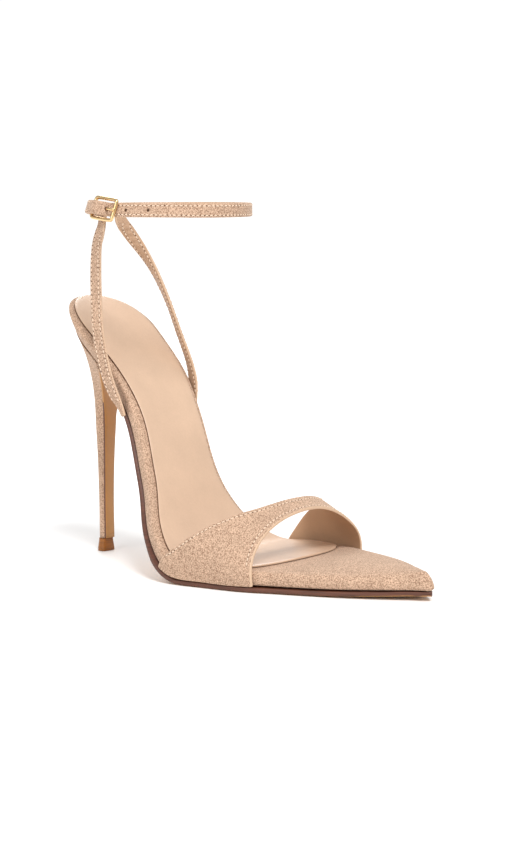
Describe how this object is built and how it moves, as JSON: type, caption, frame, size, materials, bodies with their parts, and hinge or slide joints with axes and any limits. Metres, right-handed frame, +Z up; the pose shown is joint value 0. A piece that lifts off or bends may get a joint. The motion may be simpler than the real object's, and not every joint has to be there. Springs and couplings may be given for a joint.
{
  "type": "high heel shoe",
  "caption": "Pointed-toe stiletto sandal for the right foot, with a band over the toes, two side straps and a buckled ankle strap.",
  "frame": {"origin": "on the floor under the outsole's flat forefoot, in line with the ball of the foot", "axes": "+X to the toe, +Y to the wearer's left, which is the inner side of this right shoe, +Z up"},
  "size_m": [0.2056, 0.0857, 0.1666],
  "materials": {
    "suede": "short soft nap",
    "sock_leather": "smooth, softly shining",
    "sole_leather": "smooth, waxed edge",
    "heel_tip_rubber": "hard, satin",
    "gold_metal": "polished pale gold"
  },
  "bodies": {
    "root": {"insole_board": "suede", "sock_lining": "sock_leather", "heel": "suede", "heel_tip": "heel_tip_rubber", "outsole": "sole_leather", "vamp_band": "suede", "ankle_strap": "suede", "buckle_frame": "gold_metal", "buckle_prong": "gold_metal"}
  },
  "joints": []
}
